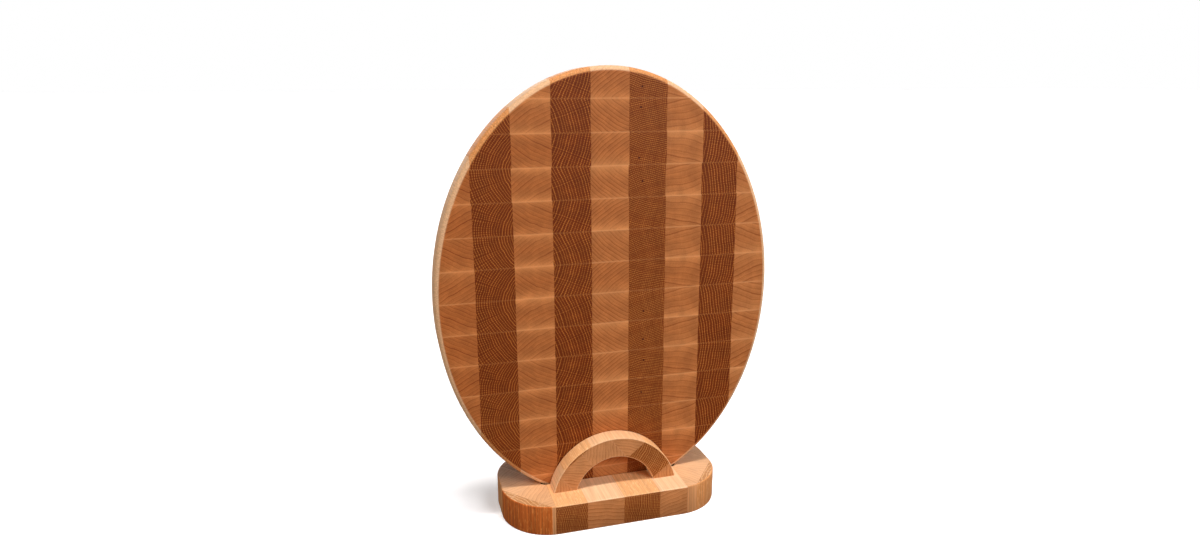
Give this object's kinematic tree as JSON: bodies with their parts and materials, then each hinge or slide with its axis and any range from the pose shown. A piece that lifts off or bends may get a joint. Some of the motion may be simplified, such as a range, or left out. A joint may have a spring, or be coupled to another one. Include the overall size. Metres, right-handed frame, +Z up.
{
  "type": "end-grain chopping block with stand",
  "caption": "Oval end-grain chopping block, checkered in two woods, standing upright between the arches of its own long stand.",
  "frame": {"origin": "on the table, below the middle of the stand", "axes": "+Z up; -Y towards the front, where the block's face is seen through the front arch; +X to the right seen from the front"},
  "size_m": [0.274, 0.099, 0.3575],
  "materials": {
    "beech": "oiled, satin",
    "oak": "oiled, satin"
  },
  "bodies": {
    "stand": {"arch_dowels": "beech", "core_strip_1_oak": "oak", "core_strip_2_beech": "beech", "core_strip_3_oak": "oak", "core_strip_4_beech": "beech", "front_arch_strip_1_oak": "oak", "front_arch_strip_2_beech": "beech", "front_arch_strip_3_oak": "oak", "front_arch_strip_4_beech": "beech", "left_end_strip_1_oak": "oak", "left_end_strip_2_beech": "beech", "left_end_strip_3_oak": "oak", "left_end_strip_4_beech": "beech", "rear_arch_strip_1_oak": "oak", "rear_arch_strip_2_beech": "beech", "rear_arch_strip_3_oak": "oak", "rear_arch_strip_4_beech": "beech", "right_end_strip_1_oak": "oak", "right_end_strip_2_beech": "beech", "right_end_strip_3_oak": "oak", "right_end_strip_4_beech": "beech"},
    "board": {"board_row_01_beech": "beech", "board_row_01_oak": "oak", "board_row_02_beech": "beech", "board_row_02_oak": "oak", "board_row_03_beech": "beech", "board_row_03_oak": "oak", "board_row_04_beech": "beech", "board_row_04_oak": "oak", "board_row_05_beech": "beech", "board_row_05_oak": "oak", "board_row_06_beech": "beech", "board_row_06_oak": "oak", "board_row_07_beech": "beech", "board_row_07_oak": "oak", "board_row_08_beech": "beech", "board_row_08_oak": "oak", "board_row_09_beech": "beech", "board_row_09_oak": "oak", "board_row_10_beech": "beech", "board_row_10_oak": "oak", "board_row_11_beech": "beech", "board_row_11_oak": "oak", "board_row_12_beech": "beech", "board_row_12_oak": "oak", "board_row_13_beech": "beech", "board_row_13_oak": "oak", "board_row_14_beech": "beech", "board_row_14_oak": "oak"}
  },
  "joints": [
    {"name": "board_lift", "type": "slide", "parent": "stand", "child": "board", "axis": [0, 0, 1], "range_m": [0, 0.07]}
  ]
}
